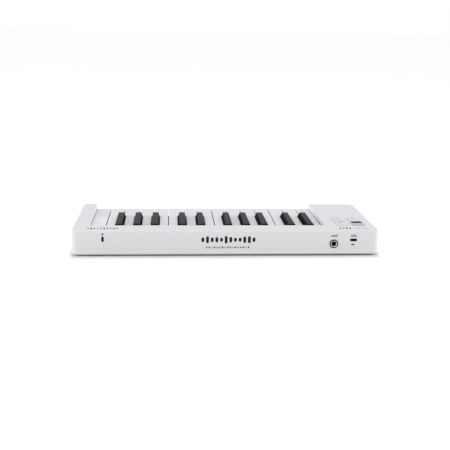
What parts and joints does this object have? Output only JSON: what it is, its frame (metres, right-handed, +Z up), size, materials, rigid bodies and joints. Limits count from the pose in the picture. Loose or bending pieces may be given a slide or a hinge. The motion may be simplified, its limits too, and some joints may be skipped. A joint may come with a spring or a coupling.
{
  "type": "midi keyboard",
  "caption": "Slim white desktop controller keyboard with small piano keys, a left control panel with touch strips and buttons, and a data port, pedal jack and lock slot at the rear.",
  "frame": {"origin": "on the surface the feet stand on, under the middle of the case", "axes": "+X from the low keys to the high keys, +Y from the player to the rear, +Z up"},
  "size_m": [0.3912, 0.1512, 0.0334],
  "materials": {
    "case_plastic": "fine matte texture, near white",
    "white_key_plastic": "smooth semi-gloss white",
    "black_key_plastic": "satin black",
    "button_plastic": "satin pale blue-grey",
    "strip_plastic": "smooth white",
    "frame_plastic": "moulded dark grey",
    "foot_rubber": "matte",
    "felt": "pressed felt",
    "silicone": "soft translucent grey silicone",
    "board": "green solder mask on glass fibre",
    "chip_epoxy": "moulded epoxy",
    "black_plastic": "moulded black",
    "cable_film": "flat polyester film",
    "rod_steel": "ground",
    "spring_steel": "drawn wire",
    "plate_steel": "zinc plated",
    "screw_steel": "zinc plated",
    "socket_steel": "tin plated",
    "bushing_metal": "plated brass"
  },
  "bodies": {
    "case": {"case_top": "case_plastic", "case_bottom": "case_plastic", "feet": "foot_rubber", "keybed_frame": "frame_plastic", "pivot_rod": "rod_steel", "downstop_felt": "felt", "upstop_felt": "felt", "key_springs": "spring_steel", "contact_board": "board", "contact_strip": "silicone", "pitch_touch_strip": "strip_plastic", "mod_touch_strip": "strip_plastic", "main_board": "board", "button_board": "board", "touch_sensor_board": "board", "pedal_jack_board": "board", "main_board_chips": "chip_epoxy", "board_link_header": "black_plastic", "button_membrane": "silicone", "ribbon_cable": "cable_film", "ribbon_sockets": "black_plastic", "pedal_jack_body": "black_plastic", "pedal_jack_bushing": "bushing_metal", "usb_socket_shell": "socket_steel", "usb_socket_tongue": "black_plastic", "lock_plate": "plate_steel", "case_screws": "screw_steel", "frame_screws": "screw_steel", "board_screws": "screw_steel"},
    "white_key_c3": {"white_key_c3": "white_key_plastic"},
    "black_key_cs3": {"black_key_cs3": "black_key_plastic"},
    "white_key_d3": {"white_key_d3": "white_key_plastic"},
    "black_key_ds3": {"black_key_ds3": "black_key_plastic"},
    "white_key_e3": {"white_key_e3": "white_key_plastic"},
    "white_key_f3": {"white_key_f3": "white_key_plastic"},
    "black_key_fs3": {"black_key_fs3": "black_key_plastic"},
    "white_key_g3": {"white_key_g3": "white_key_plastic"},
    "black_key_gs3": {"black_key_gs3": "black_key_plastic"},
    "white_key_a3": {"white_key_a3": "white_key_plastic"},
    "black_key_as3": {"black_key_as3": "black_key_plastic"},
    "white_key_b3": {"white_key_b3": "white_key_plastic"},
    "white_key_c4": {"white_key_c4": "white_key_plastic"},
    "black_key_cs4": {"black_key_cs4": "black_key_plastic"},
    "white_key_d4": {"white_key_d4": "white_key_plastic"},
    "black_key_ds4": {"black_key_ds4": "black_key_plastic"},
    "white_key_e4": {"white_key_e4": "white_key_plastic"},
    "white_key_f4": {"white_key_f4": "white_key_plastic"},
    "black_key_fs4": {"black_key_fs4": "black_key_plastic"},
    "white_key_g4": {"white_key_g4": "white_key_plastic"},
    "black_key_gs4": {"black_key_gs4": "black_key_plastic"},
    "white_key_a4": {"white_key_a4": "white_key_plastic"},
    "black_key_as4": {"black_key_as4": "black_key_plastic"},
    "white_key_b4": {"white_key_b4": "white_key_plastic"},
    "white_key_c5": {"white_key_c5": "white_key_plastic"},
    "shift_button": {"shift_button": "button_plastic"},
    "hold_button": {"hold_button": "button_plastic"},
    "octave_down_button": {"octave_down_button": "button_plastic"},
    "octave_up_button": {"octave_up_button": "button_plastic"}
  },
  "joints": [
    {"name": "white_key_c3_pivot", "type": "hinge", "parent": "case", "child": "white_key_c3", "pos_m": [0, 0.06, 0.02], "axis": [1, 0, 0], "range_deg": [0, 2.4], "stiffness_Nm_per_rad": 0.3, "springref_deg": -8.59, "deforming": ["key_springs", "contact_strip"]},
    {"name": "black_key_cs3_pivot", "type": "hinge", "parent": "case", "child": "black_key_cs3", "pos_m": [0, 0.06, 0.02], "axis": [1, 0, 0], "range_deg": [0, 3], "stiffness_Nm_per_rad": 0.3, "springref_deg": -8.59},
    {"name": "white_key_d3_pivot", "type": "hinge", "parent": "case", "child": "white_key_d3", "pos_m": [0, 0.06, 0.02], "axis": [1, 0, 0], "range_deg": [0, 2.4], "stiffness_Nm_per_rad": 0.3, "springref_deg": -8.59},
    {"name": "black_key_ds3_pivot", "type": "hinge", "parent": "case", "child": "black_key_ds3", "pos_m": [0, 0.06, 0.02], "axis": [1, 0, 0], "range_deg": [0, 3], "stiffness_Nm_per_rad": 0.3, "springref_deg": -8.59},
    {"name": "white_key_e3_pivot", "type": "hinge", "parent": "case", "child": "white_key_e3", "pos_m": [0, 0.06, 0.02], "axis": [1, 0, 0], "range_deg": [0, 2.4], "stiffness_Nm_per_rad": 0.3, "springref_deg": -8.59},
    {"name": "white_key_f3_pivot", "type": "hinge", "parent": "case", "child": "white_key_f3", "pos_m": [0, 0.06, 0.02], "axis": [1, 0, 0], "range_deg": [0, 2.4], "stiffness_Nm_per_rad": 0.3, "springref_deg": -8.59},
    {"name": "black_key_fs3_pivot", "type": "hinge", "parent": "case", "child": "black_key_fs3", "pos_m": [0, 0.06, 0.02], "axis": [1, 0, 0], "range_deg": [0, 3], "stiffness_Nm_per_rad": 0.3, "springref_deg": -8.59},
    {"name": "white_key_g3_pivot", "type": "hinge", "parent": "case", "child": "white_key_g3", "pos_m": [0, 0.06, 0.02], "axis": [1, 0, 0], "range_deg": [0, 2.4], "stiffness_Nm_per_rad": 0.3, "springref_deg": -8.59},
    {"name": "black_key_gs3_pivot", "type": "hinge", "parent": "case", "child": "black_key_gs3", "pos_m": [0, 0.06, 0.02], "axis": [1, 0, 0], "range_deg": [0, 3], "stiffness_Nm_per_rad": 0.3, "springref_deg": -8.59},
    {"name": "white_key_a3_pivot", "type": "hinge", "parent": "case", "child": "white_key_a3", "pos_m": [0, 0.06, 0.02], "axis": [1, 0, 0], "range_deg": [0, 2.4], "stiffness_Nm_per_rad": 0.3, "springref_deg": -8.59},
    {"name": "black_key_as3_pivot", "type": "hinge", "parent": "case", "child": "black_key_as3", "pos_m": [0, 0.06, 0.02], "axis": [1, 0, 0], "range_deg": [0, 3], "stiffness_Nm_per_rad": 0.3, "springref_deg": -8.59},
    {"name": "white_key_b3_pivot", "type": "hinge", "parent": "case", "child": "white_key_b3", "pos_m": [0, 0.06, 0.02], "axis": [1, 0, 0], "range_deg": [0, 2.4], "stiffness_Nm_per_rad": 0.3, "springref_deg": -8.59},
    {"name": "white_key_c4_pivot", "type": "hinge", "parent": "case", "child": "white_key_c4", "pos_m": [0, 0.06, 0.02], "axis": [1, 0, 0], "range_deg": [0, 2.4], "stiffness_Nm_per_rad": 0.3, "springref_deg": -8.59},
    {"name": "black_key_cs4_pivot", "type": "hinge", "parent": "case", "child": "black_key_cs4", "pos_m": [0, 0.06, 0.02], "axis": [1, 0, 0], "range_deg": [0, 3], "stiffness_Nm_per_rad": 0.3, "springref_deg": -8.59},
    {"name": "white_key_d4_pivot", "type": "hinge", "parent": "case", "child": "white_key_d4", "pos_m": [0, 0.06, 0.02], "axis": [1, 0, 0], "range_deg": [0, 2.4], "stiffness_Nm_per_rad": 0.3, "springref_deg": -8.59},
    {"name": "black_key_ds4_pivot", "type": "hinge", "parent": "case", "child": "black_key_ds4", "pos_m": [0, 0.06, 0.02], "axis": [1, 0, 0], "range_deg": [0, 3], "stiffness_Nm_per_rad": 0.3, "springref_deg": -8.59},
    {"name": "white_key_e4_pivot", "type": "hinge", "parent": "case", "child": "white_key_e4", "pos_m": [0, 0.06, 0.02], "axis": [1, 0, 0], "range_deg": [0, 2.4], "stiffness_Nm_per_rad": 0.3, "springref_deg": -8.59},
    {"name": "white_key_f4_pivot", "type": "hinge", "parent": "case", "child": "white_key_f4", "pos_m": [0, 0.06, 0.02], "axis": [1, 0, 0], "range_deg": [0, 2.4], "stiffness_Nm_per_rad": 0.3, "springref_deg": -8.59},
    {"name": "black_key_fs4_pivot", "type": "hinge", "parent": "case", "child": "black_key_fs4", "pos_m": [0, 0.06, 0.02], "axis": [1, 0, 0], "range_deg": [0, 3], "stiffness_Nm_per_rad": 0.3, "springref_deg": -8.59},
    {"name": "white_key_g4_pivot", "type": "hinge", "parent": "case", "child": "white_key_g4", "pos_m": [0, 0.06, 0.02], "axis": [1, 0, 0], "range_deg": [0, 2.4], "stiffness_Nm_per_rad": 0.3, "springref_deg": -8.59},
    {"name": "black_key_gs4_pivot", "type": "hinge", "parent": "case", "child": "black_key_gs4", "pos_m": [0, 0.06, 0.02], "axis": [1, 0, 0], "range_deg": [0, 3], "stiffness_Nm_per_rad": 0.3, "springref_deg": -8.59},
    {"name": "white_key_a4_pivot", "type": "hinge", "parent": "case", "child": "white_key_a4", "pos_m": [0, 0.06, 0.02], "axis": [1, 0, 0], "range_deg": [0, 2.4], "stiffness_Nm_per_rad": 0.3, "springref_deg": -8.59},
    {"name": "black_key_as4_pivot", "type": "hinge", "parent": "case", "child": "black_key_as4", "pos_m": [0, 0.06, 0.02], "axis": [1, 0, 0], "range_deg": [0, 3], "stiffness_Nm_per_rad": 0.3, "springref_deg": -8.59},
    {"name": "white_key_b4_pivot", "type": "hinge", "parent": "case", "child": "white_key_b4", "pos_m": [0, 0.06, 0.02], "axis": [1, 0, 0], "range_deg": [0, 2.4], "stiffness_Nm_per_rad": 0.3, "springref_deg": -8.59},
    {"name": "white_key_c5_pivot", "type": "hinge", "parent": "case", "child": "white_key_c5", "pos_m": [0, 0.06, 0.02], "axis": [1, 0, 0], "range_deg": [0, 2.4], "stiffness_Nm_per_rad": 0.3, "springref_deg": -8.59},
    {"name": "shift_button_press", "type": "slide", "parent": "case", "child": "shift_button", "axis": [0, 0, -1], "range_m": [0, 0.001], "stiffness_N_per_m": 500, "springref_m": -0.0006, "deforming": ["button_membrane"]},
    {"name": "hold_button_press", "type": "slide", "parent": "case", "child": "hold_button", "axis": [0, 0, -1], "range_m": [0, 0.001], "stiffness_N_per_m": 500, "springref_m": -0.0006},
    {"name": "octave_down_button_press", "type": "slide", "parent": "case", "child": "octave_down_button", "axis": [0, 0, -1], "range_m": [0, 0.001], "stiffness_N_per_m": 500, "springref_m": -0.0006},
    {"name": "octave_up_button_press", "type": "slide", "parent": "case", "child": "octave_up_button", "axis": [0, 0, -1], "range_m": [0, 0.001], "stiffness_N_per_m": 500, "springref_m": -0.0006}
  ]
}
